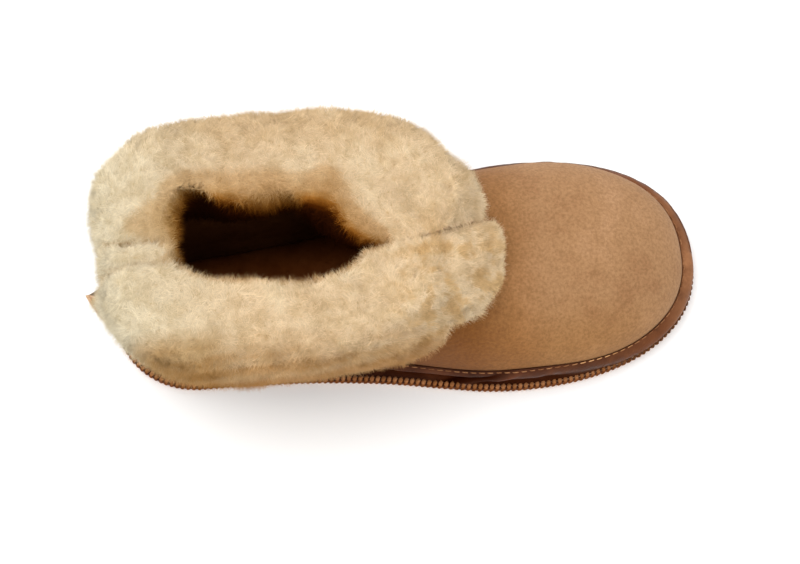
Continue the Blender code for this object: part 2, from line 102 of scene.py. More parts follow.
# The opening in the wool: turn, half width to the right, to the left.
OPENING = (
    (0.0, 0.0, 0.0), (0.035, 0.005, 0.0055), (0.07, 0.0075, 0.014), (0.12, 0.0095, 0.0245),
    (0.205, 0.0125, 0.0315), (0.28, 0.0145, 0.029), (0.34, 0.0155, 0.0225), (0.45, 0.017, 0.023),
    (0.545, 0.0175, 0.025), (0.63, 0.015, 0.01), (0.7, 0.0115, 0.004), (0.745, 0.0085, 0.0025),
    (0.785, 0.0025, 0.0015), (1.0, 0.0, 0.0),
)
STRIP_TURN = 0.035  # half width of the back strip
SEAM_TURN = 0.004
END_TURN = 0.09
END_WOOL_BACK = 0.50
END_WOOL_FRONT = 0.80
SLIT_SWING = 8 * MM
SLIT_FROM, SLIT_TO, SLIT_REACH = 8.5 * MM, 38 * MM, 18 * MM
STRIP_BULGE = 0.22
# Section of the wool. Outside: share of the depth, share of the thickness. Fold and lip: way across,
# lift. Inside: share of the depth inside, way to the opening.
WOOL_OUTSIDE = (
    (1.03, 0.16), (1.02, 0.38), (0.95, 0.57), (0.84, 0.71), (0.71, 0.84), (0.58, 0.93), (0.45, 0.98),
    (0.32, 1.0), (0.2, 1.0), (0.09, 0.97), (0.0, 0.92),
)
WOOL_FOLD = ((0.76, 0.44), (0.52, 0.76), (0.24, 0.94), (0.0, 1.0))
WOOL_LIP = ((0.3, 0.99), (0.58, 0.9), (0.82, 0.66), (0.96, 0.26))
WOOL_INSIDE = ((0.2, 1.0), (0.45, 0.9), (0.75, 0.62), (1.0, 0.12))
# Section of the rand: height in mm, share of the way out from the upper to the sole's edge.
RAND_SECTION = (
    (3.3, 1.0), (4.8, 1.0), (5.4, 0.78), (6.6, 0.7), (8.6, 0.79), (11.0, 0.82), (13.4, 0.72), (15.4, 0.5),
    (16.8, 0.23), (17.2, 0.0),
)
# Turn, how tall the rand is for its section, on the right and on the left.
RAND_TALL = (
    (0.0, 1.0, 1.0), (0.46, 0.97, 1.0), (0.5, 0.84, 0.99), (0.54, 0.82, 0.97), (0.58, 1.0, 0.95),
    (0.62, 1.16, 0.92), (0.66, 1.2, 0.89), (0.7, 1.06, 0.86), (0.74, 0.86, 0.83), (0.79, 0.7, 0.8),
    (0.87, 0.68, 0.77), (1.0, 0.74, 0.74),
)
# The same from the heel to the pleat on the right side, where the band's edge stands over a recess.
RAND_OVERHANG = (
    (3.3, 1.0), (4.8, 1.0), (5.3, 0.64), (7.0, 0.44), (10.6, 0.34), (11.8, 0.32), (12.6, 0.41), (14.4, 0.43),
    (16.4, 0.27), (17.2, 0.0),
)
# And round the toe, where the band bulges over the sole's edge.
RAND_TOE = (
    (3.3, 1.0), (4.8, 1.0), (5.2, 0.93), (6.4, 1.0), (8.4, 1.05), (10.8, 1.0), (13.4, 0.8), (15.4, 0.52),
    (16.8, 0.22), (17.2, 0.0),
)
# And on the right side from the pleat to the toe, where the recess narrows.
RAND_NECK = (
    (3.3, 1.0), (4.8, 1.0), (5.3, 0.68), (6.8, 0.48), (9.8, 0.42), (11.4, 0.46), (12.3, 0.58), (14.2, 0.56),
    (16.2, 0.34), (17.2, 0.0),
)
NECK_FROM, NECK_TO = 0.62, 0.735
TOE_FROM, TOE_OVER = 0.69, 0.11
LEDGE_TOP = 5.3  # mm; up to here the rand is as high everywhere
TALL_REACH = 13.9 / 11.9  # the section's whole height over its height above the ledge
PLEAT_LOW, PLEAT_HIGH = 0.517, 0.604  # turns at which the pleat crosses the rand's lower and upper edge
PLEAT_WIDE = 0.022
RAND_ROWS = 44
# Whip stitch round the sole's edge, in mm: out, up, along, radius.
WHIP_PATH = (
    (-3.5, -0.02, -1.5, 0.28), (-2.2, -0.16, -0.9, 0.42), (-0.9, -0.2, -0.5, 0.46), (-0.2, 0.1, -0.3, 0.6),
    (-0.3, 1.0, -0.1, 0.88), (-0.3, 2.2, 0.0, 1.02), (-0.4, 3.5, 0.1, 1.02), (-0.7, 4.6, 0.3, 0.98),
    (-1.5, 5.1, 0.5, 0.86), (-2.5, 4.9, 0.7, 0.5),
)
WHIP_PITCH = 2.8 * MM
WHIP_TOE_FROM, WHIP_TOE_OVER, WHIP_TOE_OUT, WHIP_TOE_SMALLER = 0.72, 0.08, 0.55, 0.24
FLOOR_DROP = 0.6 * MM  # room for the stitches under the sole


# -------- the last, over arrays
def smooth(rows, at, column=1):
    rows = np.array(rows)
    x, y = rows[:, 0], rows[:, column]
    n = np.arange(len(x))
    low, high = np.maximum(n - 1, 0), np.minimum(n + 1, len(x) - 1)
    slope = (y[high] - y[low]) / (x[high] - x[low])
    at = np.clip(at, x[0], x[-1])
    i = np.clip(np.searchsorted(x, at, side="right") - 1, 0, len(x) - 2)
    span = x[i + 1] - x[i]
    t = (at - x[i]) / span
    value = y[i] * (2 * t**3 - 3 * t**2 + 1) + y[i + 1] * (3 * t**2 - 2 * t**3)
    return value + span * (slope[i] * (t**3 - 2 * t**2 + t) + slope[i + 1] * (t**3 - t**2))


def eased(along):
    along = np.clip(along, 0, 1)
    return along * along * (3 - 2 * along)


def bell(away, power=2):
    return np.exp(-(away**power))


def rounding(along, power):
    return (1 - np.clip(along, 0.0, 1.0) ** power) ** (1 / power)


def forward(turn):
    """Share of the way to the front."""
    return (1 - np.cos(np.pi * turn)) / 2


def by_side(rows, turn):
    return np.where(turn > 0, smooth(rows, np.abs(turn), 1), smooth(rows, np.abs(turn), 2))


def round_turns(count):
    turns = np.arange(count) * 2 / count
    return np.where(turns > 1, turns - 2, turns)


def half_width(share, inset=0.0):
    width = smooth(SIDE_LINE, share) * BALL_WIDTH / 2 - inset
    heel = rounding(1 - share / HEEL_ROUND, 2)
    return width * heel * rounding((share - TOE_START) / (1 - TOE_START), TOE_POWER)


def outline(turn, height, inset=0.0):
    share = forward(turn)
    x = inset + share * (LENGTH - 2 * inset) - LENGTH / 2
    return np.stack([x, -np.sign(turn) * half_width(share, inset), height + 0 * x], -1)


def feather(turn, height, inset):
    share = forward(turn)
    first = FEATHER_INSET + inset
    x = first + share * (LENGTH - first - TOE_INSET - inset) - LENGTH / 2
    width = half_width(share, smooth(FEATHER_LINE, share) + inset)
    return np.stack([x, -np.sign(turn) * width, height + 0 * x], -1)


TOE_END = 1 - TOE_INSET / LENGTH


def ridge(share):
    drop = rounding((share - TOE_DROP_START) / (TOE_END - TOE_DROP_START), TOE_DROP_POWER)
    return WIDEST_HEIGHT + (smooth(RIDGE, share) - WIDEST_HEIGHT) * drop


# Places along the ridge, denser towards the toe, and their heights, to find a place by its height.
FRONTS = TOE_END - (TOE_END - 0.45) * np.linspace(0, 1, 1500) ** 2.5
FRONT_HEIGHTS = ridge(FRONTS)


def upper(turn, level):
    """Points on the upper's outer face: turn 0 at the heel to 1 at the front (right) or -1 (left)."""
    place = np.asarray(level) * (len(LEVELS) - 1)
    rows = [(n, *ring) for n, ring in enumerate(LEVELS)]
    heel_z, front_z = smooth(rows, place, 1), smooth(rows, place, 2)
    heel_x = smooth(HEEL_LINE, heel_z)
    front_x = np.interp(front_z, FRONT_HEIGHTS, FRONTS) * LENGTH
    along = forward(turn)
    x = heel_x + along * (front_x - heel_x)
    z = heel_z + along * (front_z - heel_z)
    share = (x - heel_x) / (LENGTH - TOE_INSET - heel_x)
    width = half_width(share, smooth(FEATHER_LINE, share))
    rise = (z - WIDEST_HEIGHT) / np.maximum(ridge(x / LENGTH) - WIDEST_HEIGHT, GAP)
    arch = np.where(z > WIDEST_HEIGHT, rounding(rise, ARCH_POWER), 1.0)
    y = (width + smooth(WALL_SPREAD, z) * np.minimum(1.0, width / BALL_WIDTH * 4)) * arch
    y = np.where((along <= 0) | (along >= 1), 0.0, y)
    return np.stack([x - LENGTH / 2, -np.sign(turn) * y, z + 0 * x], -1)


def unit(v):
    return v / np.maximum(np.linalg.norm(v, axis=-1, keepdims=True), 1e-12)


def upper_frame(turn, level, step=0.004):
    """Outward normals and upward tangents of the upper's outer face."""
    turn, level = np.broadcast_arrays(np.asarray(turn, float), np.asarray(level, float))
    near = np.clip(turn, -1 + step, 1 - step)
    across = upper(near + step, level) - upper(near - step, level)
    up = upper(near, np.minimum(level + step, 1)) - upper(near, np.maximum(level - step, 0))
    normal = np.cross(across, up)
    flat = (near != turn)[..., None] * np.array([0, 1, 0]) > 0
    return unit(np.where(flat, 0, normal)), unit(np.where(flat, 0, up))


def level_at(height):
    rows = [(heel, n / (len(LEVELS) - 1)) for n, (heel, _) in enumerate(LEVELS)]
    return smooth(rows, height)


class Sides:
    """Lines down the upper at a row of turns, to find places by their distance from the topline."""

    def __init__(self, turns):
        self.turns = turns
        self.levels = np.linspace(1.0, 0.02, 80)
        lines = upper(turns[:, None], self.levels)
        steps = np.linalg.norm(np.diff(lines, axis=1), axis=-1)
        self.depths = np.cumsum(np.pad(steps, ((0, 0), (1, 0))), 1)

    def below(self, depth, offset):
        depth = np.broadcast_to(depth, self.turns.shape)
        level = np.array([np.interp(d, row, self.levels) for d, row in zip(depth, self.depths)])
        normal, _ = upper_frame(self.turns, level)
        return upper(self.turns, level) + normal * np.reshape(offset, (-1, 1))


def opening(turn, height):
    along = forward(turn)
    x = OPENING_HEEL + along * (OPENING_FRONT - OPENING_HEEL) - LENGTH / 2
    return np.stack([x, -np.sign(turn) * by_side(OPENING, turn), height + 0 * x], -1)


def wool_controls(turns, depth, wool, height, pile=0.0, flare=0.0, thinner=0.0):
    """Control points of the wool's outer face for each turn: flap's lower edge, fold, inside."""
    sides = Sides(turns)
    normal, up = upper_frame(turns, np.ones_like(turns))
    rise = unit(up + np.array([0, 0, 1]))
    top = upper(turns, np.ones_like(turns))
    inner = top - normal * (SKIN_THICKNESS + COVER_GAP)
    mouth = opening(turns, inner[:, 2])
    lie = STAND_OFF + wool - pile
    rows = []
    for share, out in WOOL_OUTSIDE:
        out = out * (1 - thinner * np.clip((share - THIN_FROM) / (THIN_FULL - THIN_FROM), 0, 1))
        flared = STAND_OFF + flare * min(share, 1) ** FLARE_POWER
        rows.append(sides.below(depth * share, flared + np.maximum(wool - pile, 0) * out))
    tall = height - pile
    for out, lift in WOOL_FOLD:
        rows.append(top + normal * (lie * out)[:, None] + rise * (tall * lift)[:, None])
    for way, lift in WOOL_LIP:
        rows.append(inner + (mouth - inner) * way + rise * (tall * lift)[:, None])
    for share, way in WOOL_INSIDE:
        wall = sides.below(INSIDE_DEPTH * share, -SKIN_THICKNESS - COVER_GAP)
        aim = np.stack([mouth[:, 0], mouth[:, 1], wall[:, 2]], -1)
        rows.append(wall + (aim - wall) * way)
    return np.stack(rows, 1), sides


def resample(rows, count):
    """Catmull-Rom curves through the points along axis 1."""
    n = rows.shape[1]
    at = np.linspace(0, n - 1, count)
    i = np.clip(at.astype(int), 0, n - 2)
    t = (at - i)[None, :, None]
    a, b, c, d = (rows[:, np.clip(i + k, 0, n - 1)] for k in (-1, 0, 1, 2))
    return 0.5 * (2 * b + (c - a) * t + (2 * a - 5 * b + 4 * c - d) * t**2 + (3 * b - a - 3 * c + d) * t**3)


def noise(points, size, seed=0):
    """Smooth random values from -1 to 1 with features of a size."""
    p = points / size + 1000.0 + seed * 17.31
    cell = np.floor(p).astype(np.int64)
    f = p - cell
    f = f * f * (3 - 2 * f)
    total = 0
    for dx, dy, dz in np.ndindex(2, 2, 2):
        key = (cell[..., 0] + dx) * 73856093 ^ (cell[..., 1] + dy) * 19349663 ^ (cell[..., 2] + dz) * 83492791
        key = (key ^ (seed * 2654435)) & 0x7FFFFFFF
        key = (key * 1103515245 + 12345) & 0x7FFFFFFF
        key = ((key >> 7) * 69069 + 1) & 0x7FFFFFFF
        value = (key % 65536) / 32767.5 - 1
        for axis, d in enumerate((dx, dy, dz)):
            value = value * (f[..., axis] if d else 1 - f[..., axis])
        total = total + value
    return total


# -------- mesh helpers
def add_mesh(name, points, faces, materials, kind=None, closed=True):
    data = bpy.data.meshes.new(name)
    data.from_pydata(np.reshape(points, (-1, 3)).tolist(), [], faces)
    for m in materials:
        data.materials.append(m)
    if kind is not None:
        data.polygons.foreach_set("material_index", np.asarray(kind, dtype=np.int32))
    data.shade_smooth()
    data.validate()
    data.update()
    if closed and volume(data) < 0:
        data.flip_normals()
    thing = bpy.data.objects.new(name, data)
    SCENE.collection.objects.link(thing)
    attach(thing, "root")
    return thing


def paint(thing, shade, inside=0.0):
    """For each point a shade, which multiplies its colour, and how deep it is in the collar's painted shade.
    """
    layer = thing.data.color_attributes.new(name="shade", type="FLOAT_COLOR", domain="POINT")
    values = np.ones((len(thing.data.vertices), 4), dtype=np.float32)
    values[:, 0] = np.ravel(shade)
    values[:, 1] = np.ravel(inside)
    layer.data.foreach_set("color", values.ravel())


def volume(data):
    """Signed volume inside a mesh, below zero where its faces look inwards."""
    solid = bmesh.new()
    solid.from_mesh(data)
    inside = solid.calc_volume(signed=True)
    solid.free()
    return inside


def grid_faces(rows, columns, wrap_rows=False):
    row = np.arange(rows if wrap_rows else rows - 1)[:, None]
    here, beyond = row * columns, (row + 1) % rows * columns
    place = np.arange(columns)
    after = (place + 1) % columns
    return np.stack([here + place, here + after, beyond + after, beyond + place], -1).reshape(-1, 4).tolist()


def closed_faces(rows, columns):
    """Faces of a tube of points, with both its ends closed."""
    ends = [list(range(columns))[::-1], [(rows - 1) * columns + k for k in range(columns)]]
    return grid_faces(rows, columns) + ends


def grid_normals(grid):
    return unit(np.cross(*np.gradient(grid, axis=(0, 1))))


def tubes(centres, radii, broad, wide=1.0, sides=6):
    """Closed tubes through many paths at once: centres (paths, points, 3), radii (paths, points). They
    are wider than high by a factor, across the path in the direction given for each."""
    paths, count, _ = centres.shape
    along = unit(np.gradient(centres, axis=1))
    broad = broad[:, None]
    first = unit(broad - along * (broad * along).sum(-1, keepdims=True))
    second = np.cross(along, first)
    angle = np.arange(sides) * 2 * np.pi / sides
    ring = first[:, :, None] * np.cos(angle)[:, None] * wide + second[:, :, None] * np.sin(angle)[:, None]
    points = centres[:, :, None] + ring * np.reshape(radii, (-1, count, 1, 1))
    tube, starts = closed_faces(count, sides), range(0, paths * count * sides, count * sides)
    return points, [[v + start for v in face] for start in starts for face in tube]


# -------- materials
WHITE = (1, 1, 1)


class Look:
    """A material in the making: its nodes, its links and its shader."""

    def __init__(self, name, rough, **sockets):
        self.material = bpy.data.materials.new(name)
        self.material.use_nodes = True
        tree = self.material.node_tree
        self.nodes, self.links = tree.nodes, tree.links
        self.shader = self.nodes["Principled BSDF"]
        self.shader.inputs["Roughness"].default_value = rough
        for key, value in sockets.items():
            self.shader.inputs[key.replace("_", " ")].default_value = value

    def node(self, kind, **settings):
        made = self.nodes.new("ShaderNode" + kind)
        for key, value in settings.items():
            if key in made.inputs:
                made.inputs[key].default_value = value
            else:
                setattr(made, key, value)
        return made

    def texture(self, kind, scale, stretch=(1, 1, 1), **settings):
        place = self.node("Mapping")
        place.inputs["Scale"].default_value = stretch
        self.links.new(self.node("TexCoord").outputs["Object"], place.inputs["Vector"])
        made = self.node(kind, Scale=scale, **settings)
        self.links.new(place.outputs["Vector"], made.inputs["Vector"])
        return made

    def clouds(self, scale, detail, rough=0.5, stretch=(1, 1, 1)):
        return self.texture("TexNoise", scale, stretch, Detail=detail, Roughness=rough).outputs["Fac"]

    def ramp(self, source, stops):
        made = self.node("ValToRGB")
        made.color_ramp.interpolation = "EASE"
        while len(made.color_ramp.elements) < len(stops):
            made.color_ramp.elements.new(0.5)
        for element, (place, colour) in zip(made.color_ramp.elements, stops):
            element.position = place
            element.color = (*colour, 1)
        self.links.new(source, made.inputs["Fac"])
        return made.outputs["Color"]

    def mix(self, factor, a, b, blend="MIX"):
        made = self.node("Mix", data_type="RGBA", blend_type=blend)
        for socket, value in ((0, factor), (6, a), (7, b)):
            if isinstance(value, (int, float)):
                made.inputs[socket].default_value = value
            elif isinstance(value, tuple):
                made.inputs[socket].default_value = (*value, 1)
            else:
                self.links.new(value, made.inputs[socket])
        return made.outputs[2]

    def times(self, a, b):
        return self.mix(1.0, a, b, "MULTIPLY")

    def tint(self, colour, source, stops):
        return self.times(colour, self.ramp(source, stops))

    def bump(self, height, strength, distance, normal=None):
        made = self.node("Bump", Strength=strength, Distance=distance)
        self.links.new(height, made.inputs["Height"])
        if normal:
            self.links.new(normal, made.inputs["Normal"])
        return made.outputs["Normal"]

    def along(self, axis, low, high):
        """0 to 1 along one of the slipper's own axes."""
        split = self.node("SeparateXYZ")
        self.links.new(self.node("TexCoord").outputs["Object"], split.inputs["Vector"])
        made = self.node("MapRange", **{"From Min": low, "From Max": high})
        self.links.new(split.outputs[axis], made.inputs["Value"])
        return made.outputs["Result"]

    def painted(self, channel):
        """What is painted on the piece's points: the shade in Red, how deep in the collar's painted shade in
        Green.
        """
        layer = self.node("Attribute", attribute_name="shade")
        split = self.node("SeparateColor")
        self.links.new(layer.outputs["Color"], split.inputs["Color"])
        return split.outputs[channel]

    def each(self, low, high):
        """A colour between two for each separate thread or fibre."""
        return self.ramp(self.node("NewGeometry").outputs["Random Per Island"], ((0.0, low), (1.0, high)))

    def feed(self, socket, source):
        self.links.new(source, self.shader.inputs[socket])

    def finish(self, colour, normal):
        self.feed("Base Color", colour)
        self.feed("Normal", normal)
        return self.material


def suede(name, dark, mid, light, nap=1.0, tints=()):
    """Brushed leather. Tints: axis, where it starts, where it ends, stops of colour."""
    look = Look(name, 0.96, Sheen_Weight=0.05, Sheen_Roughness=0.6, Specular_IOR_Level=0.15)
    colour = look.ramp(look.clouds(34, 6.0, 0.62), ((0.30, dark), (0.5, mid), (0.70, light)))
    fine = look.clouds(620, 4.0, 0.7)
    colour = look.tint(colour, fine, ((0.3, (0.80, 0.78, 0.74)), (0.7, (1.14, 1.15, 1.18))))
    for axis, low, high, stops in tints:
        colour = look.tint(colour, look.along(axis, low, high), stops)
    first = look.bump(fine, 0.30 * nap, 0.0010)
    return look.finish(colour, look.bump(look.clouds(1500, 3.0, 0.75), 0.35 * nap, 0.0005, first))


def wool_material(name, low, mid, high, heel):
    """Wool: paler at the heel, tufted in front; painted shade low on the right, at the rims and inside the
    collar.
    """
    look = Look(name, 0.95, Specular_IOR_Level=0.0)
    colour = look.ramp(look.clouds(46, 5.0, 0.6), ((0.30, low), (0.5, mid), (0.68, high)))
    colour = look.mix(look.along("X", -0.075, -0.14), colour, heel)
    # Painted shade at the rims.
    colour = look.tint(colour, look.along("Y", -0.070, 0.070), RIM_SHADE)
    # Painted shade in the skin's folds: soft brown streaks low on the right half.
    fold_shadows = look.clouds(40, 3.0, 0.55, (0.35, 2.2, 3.2))
    fold_shaded = look.tint(colour, fold_shadows, ((0.42, (0.84, 0.72, 0.56)), (0.56, WHITE)))
    colour = look.mix(look.along("Y", -0.040, -0.054), colour, fold_shaded)
    # Painted shade on the right half's outside: darker towards the heel and low down.
    low_shaded = look.tint(colour, look.along("X", -0.125, -0.050), LOW_SIDE_WOOL_SHADE)
    low_shaded = look.tint(low_shaded, look.along("Z", 0.060, 0.079), ((0.0, (0.78, 0.65, 0.52)), (1.0, WHITE)))
    colour = look.mix(look.along("Y", -0.037, -0.047), colour, low_shaded)
    tufted = look.tint(colour, look.clouds(105, 2.5, 0.55), ((0.40, (0.87, 0.77, 0.61)), (0.54, WHITE)))
    front = look.mix(look.along("X", -0.016, 0.006), colour, tufted)
    colour = look.mix(look.along("Y", 0.012, -0.006), colour, front)
    # Painted shadows between the locks: small dark flecks.
    lock_shadows = ((0.30, (0.82, 0.76, 0.66)), (0.44, WHITE), (0.70, (1.04, 1.05, 1.06)))
    colour = look.tint(colour, look.clouds(380, 4.0, 0.65), lock_shadows)
    locks = ((0.36, (0.90, 0.87, 0.81)), (0.58, (1.03, 1.03, 1.03)))
    colour = look.tint(colour, look.clouds(120, 3.0, 0.6), locks)
    colour = look.times(colour, look.each((0.92, 0.90, 0.86), (1.06, 1.06, 1.06)))
    # Painted shade inside the collar; then the shade painted in Red.
    colour = look.tint(colour, look.painted("Green"), COLLAR_SHADE)
    colour = look.times(colour, look.painted("Red"))
    return look.finish(colour, look.bump(look.clouds(900, 3.0, 0.7), 0.2, 0.0005))


def leather(name, dark, mid, light, rough, toe=None):
    """Smooth leather. With a colour for the toe it grows paler that way and takes the painted shade."""
    look = Look(name, rough, Specular_IOR_Level=0.16)
    colour = look.ramp(look.clouds(60, 6.0, 0.65), ((0.3, dark), (0.5, mid), (0.72, light)))
    if toe:
        # The painted shade darkens the leather, warms its darkest parts and takes the reflection out of them.
        shade = look.painted("Red")
        colour = look.tint(colour, look.along("X", 0.045, 0.135), PALER_TO_TOE + ((1.0, toe),))
        colour = look.times(colour, shade)
        colour = look.tint(colour, shade, ((0.0, (1.4, 0.80, 0.45)), (0.8, WHITE)))
        look.feed("Specular IOR Level", look.ramp(shade, ((0.30, (0, 0, 0)), (0.95, (0.07,) * 3))))
    grain = look.texture("TexVoronoi", 900).outputs["Distance"]
    crease = look.clouds(240, 5.0, 0.6)
    look.feed("Roughness", look.ramp(crease, ((0.35, (rough - 0.12,) * 3), (0.65, (rough + 0.14,) * 3))))
    return look.finish(colour, look.bump(crease, 0.35, 0.0006, look.bump(grain, 0.25, 0.0003)))


def thread(name, low, high, under=None, toe=None):
    """Waxed thread. Under: stops of painted shade and highlight up the sole's edge. Toe: a tint a little
    behind the toe.
    """
    look = Look(name, 0.8, Specular_IOR_Level=0.06)
    colour = look.each(low, high)
    if toe:
        stops = ((0.0, WHITE), (0.35, toe), (0.65, toe), (1.0, WHITE))
        colour = look.tint(colour, look.along("X", 0.070, 0.110), stops)
    if under:
        height = look.along("Z", 0.0002, 0.0056)
        at_toe = look.along("X", 0.090, 0.106)
        edge_shaded = look.mix(at_toe, look.ramp(height, under), look.ramp(height, WHIP_TOE_EDGE_SHADE))
        colour = look.times(colour, edge_shaded)
    twist = look.clouds(1300, 3.0)
    colour = look.tint(colour, twist, ((0.3, (0.75, 0.72, 0.70)), (0.7, (1.1, 1.1, 1.1))))
    return look.finish(colour, look.bump(twist, 0.5, 0.0003))


# Stops of colour, which multiply the colour below: place along the ramp, colour.
# Painted shadow of the cuff, with some dirt: the suede darker close to the cuff.
CUFF_SHADOW_AND_DIRT = ((0.0, (0.54, 0.36, 0.12)), (0.3, (0.62, 0.45, 0.21)), (0.62, (0.82, 0.71, 0.54)), (1.0, WHITE))
# Painted shade low on the right side of the upper.
LOW_SIDE_SHADE = ((0.0, (0.86, 0.75, 0.52)), (1.0, WHITE))
EDGED = ((0.0, WHITE), (1.0, (0.3, 0.26, 0.24)))
# Painted shade across the wool: browner at the right half's outer rim, a little at the left's, paler between.
RIM_SHADE = (
    (0.0, (0.8, 0.56, 0.34)), (0.05, (0.86, 0.64, 0.42)), (0.09, (1.03, 0.9, 0.75)),
    (0.15, (1.11, 1.08, 1.04)), (0.22, (1.15, 1.17, 1.19)), (0.5, (1.12, 1.12, 1.12)),
    (0.8, (1.07, 1.07, 1.07)), (1.0, (1.0, 0.95, 0.88)),
)
# Painted shade on the right half's wool, darker towards the heel.
LOW_SIDE_WOOL_SHADE = ((0.0, (0.76, 0.6, 0.42)), (0.34, (0.8, 0.7, 0.55)), (0.54, (0.98, 0.97, 0.95)), (1.0, WHITE))
# Painted shade inside the collar: browner and darker the further in.
COLLAR_SHADE = (
    (0.0, WHITE), (0.14, (0.84, 0.73, 0.6)), (0.4, (0.76, 0.62, 0.45)), (0.54, (0.61, 0.42, 0.21)),
    (0.65, (0.46, 0.245, 0.065)), (0.75, (0.26, 0.11, 0.02)), (0.85, (0.09, 0.028, 0.004)),
    (1.0, (0.035, 0.011, 0.004)),
)
# Paler towards the toe.
PALER_TO_TOE = ((0.0, WHITE), (0.5, (1.3, 1.4, 1.25)), (0.85, (2.2, 2.5, 2.2)))
# Painted shade on the whip stitches' sides up the sole's edge, with a painted highlight at their tops; at the
# toe darker, without it.
WHIP_EDGE_SHADE = (
    (0.08, WHITE), (0.18, (0.3, 0.19, 0.1)), (0.5, (0.22, 0.125, 0.055)), (0.75, (0.28, 0.17, 0.09)),
    (1.0, (0.5, 0.39, 0.3)),
)
WHIP_TOE_EDGE_SHADE = ((0.08, WHITE), (0.18, (0.22, 0.15, 0.09)), (1.0, (0.16, 0.11, 0.07)))

# Darkest, middle and lightest colour of each stuff.
TAN = ((0.275, 0.136, 0.057), (0.322, 0.171, 0.076), (0.366, 0.2, 0.096))
COGNAC = ((0.33, 0.085, 0.004), (0.4, 0.108, 0.008), (0.5, 0.16, 0.02))
PEACH = ((0.58, 0.36, 0.22), (0.68, 0.45, 0.28), (0.76, 0.55, 0.37))
CREAM = ((0.67, 0.495, 0.3), (0.75, 0.575, 0.37), (0.8, 0.64, 0.43))
# Painted shade inside the slipper: the lining and the sock wool are given dark browns.
LINING_IN_SHADE = ((0.045, 0.014, 0.004), (0.065, 0.022, 0.007), (0.09, 0.032, 0.01))
SOCK_IN_SHADE = ((0.12, 0.03, 0.006), (0.15, 0.04, 0.009), (0.19, 0.055, 0.014))
BROWN = ((0.036, 0.01, 0.004), (0.062, 0.018, 0.007), (0.1, 0.032, 0.013))
BLACKISH = ((0.02, 0.008, 0.006), (0.032, 0.013, 0.01), (0.05, 0.022, 0.018))
PALE = (0.73, 0.64, 0.465)  # the wool at the heel

# The upper takes the cuff's painted shadow and painted shade low on its right side.
SUEDE = suede("upper_suede", *TAN, tints=(("X", 0.005, 0.07, CUFF_SHADOW_AND_DIRT), ("Y", -0.054, -0.022, LOW_SIDE_SHADE)))
SOLE_SUEDE = suede("sole_suede", *COGNAC, 1.3, (("Z", 0.0002, 0.0014, EDGED),))
SKIN = suede("skin_side", *PEACH)
WOOL = wool_material("cuff_wool", *CREAM, PALE)
LINING = wool_material("lining_wool", *LINING_IN_SHADE, LINING_IN_SHADE[1])
SOCK = wool_material("sock_wool_in_shade", *SOCK_IN_SHADE, SOCK_IN_SHADE[1])
RAND = leather("rand_leather", *BROWN, 0.40, toe=(3.2, 4.4, 4.6))
THONG = leather("thong_leather", *BLACKISH, 0.5)
THREAD = thread("edge_thread", (0.58, 0.29, 0.12), (0.78, 0.43, 0.22), WHIP_EDGE_SHADE)
TOP_THREAD = thread("top_thread", (0.22, 0.090, 0.036), (0.36, 0.17, 0.075), toe=(1.9, 2.2, 2.2))
DULL_THREAD = thread("flange_thread", (0.12, 0.06, 0.035), (0.30, 0.17, 0.10))


# -------- sole and rand
def even_turns(inset, spacing):
    """Turns spaced evenly along the outline, with points and outward normals."""
    fine = np.linspace(-1, 1, 8001)
    line = outline(fine, 0.0, inset)
    run = np.concatenate([[0], np.cumsum(np.linalg.norm(np.diff(line, axis=0), axis=1))])
    count = int(round(run[-1] / spacing))
    turn = np.interp(np.arange(count) * run[-1] / count, run, fine)
    step = 0.0008
    along = unit(outline(turn + step, 0.0, inset) - outline(turn - step, 0.0, inset))
    out = np.cross(along, np.array([0, 0, 1.0]))
    return turn, outline(turn, 0.0, inset), along, out


def make_sole():
    turn, _, _, _ = even_turns(0.0, 2.0 * MM)
    # Inset and height in mm.
    section = ((3.0, 0.0), (0.5, 0.0), (0.1, 0.35), (0.0, 1.0), (0.0, 2.2), (0.3, 3.0), (6.0, 3.0))
    points = np.concatenate([outline(turn, z * MM, inset * MM) for inset, z in section])
    sole = add_mesh("sole", points, closed_faces(len(section), len(turn)), [SOLE_SUEDE])
    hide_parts("outsole")


def make_whip_stitches():
    """Stitches round the sole's edge. At the toe they are smaller and stand out a little further."""
    turn, at, along, out = even_turns(0.0, WHIP_PITCH)
    at_toe = eased((np.abs(turn) - WHIP_TOE_FROM) / WHIP_TOE_OVER)[:, None]
    centres = []
    for o, z, s, _ in WHIP_PATH:
        outwards = o + (WHIP_TOE_OUT if z > 1.0 else 0.0) * at_toe
        centres.append(at + out * (outwards * MM) + along * (s * MM) + np.array([0, 0, z * MM]))
    radii = np.array([row[3] for row in WHIP_PATH]) * MM
    points, faces = tubes(np.stack(centres, 1), radii * (1 - WHIP_TOE_SMALLER * at_toe), along, 1.22, 8)
    stitches = add_mesh("sole_whip_stitch", points, faces, [THREAD])


def pleat_fold(turn):
    """Share of the way up the rand, and how far in front of the pleat each place is."""
    up = np.linspace(0, 1, RAND_ROWS)[:, None]
    return up, (turn - (PLEAT_LOW + (PLEAT_HIGH - PLEAT_LOW) * up)) / PLEAT_WIDE


def above_ledge(up):
    return eased((up - 0.13) / 0.12)


